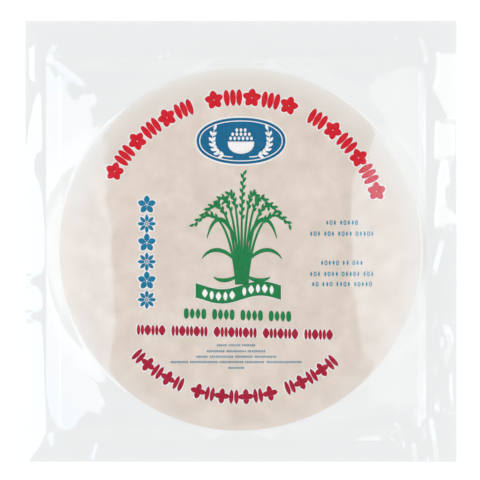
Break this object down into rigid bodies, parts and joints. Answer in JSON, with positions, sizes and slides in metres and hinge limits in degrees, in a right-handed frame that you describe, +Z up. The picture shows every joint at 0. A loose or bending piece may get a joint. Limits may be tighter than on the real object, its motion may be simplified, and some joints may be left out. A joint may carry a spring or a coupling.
{
  "type": "bagged rice paper wrapper stack",
  "caption": "Round stack of rice paper wrappers sealed in a square clear film bag with flat welded margins, lying on its back.",
  "frame": {"origin": "under the middle of the bag, on the surface that the pack lies on", "axes": "+Z up out of the printed side, +Y towards the top edge of the print, +X to its right"},
  "size_m": [0.26, 0.266, 0.0168],
  "materials": {
    "pack": "clear gloss film over cream wrappers, for the closed solid",
    "film": "clear cast polypropylene film, gloss",
    "wrappers": "dried rice paper, faint woven mat relief, matt",
    "red_ink": "printed ink on the inside of the film",
    "crimson_ink": "printed ink on the inside of the film",
    "blue_ink": "printed ink on the inside of the film",
    "green_ink": "printed ink on the inside of the film",
    "white_ink": "printed ink on the inside of the film"
  },
  "bodies": {
    "root": {"rice_paper_pack": "pack"}
  },
  "joints": []
}
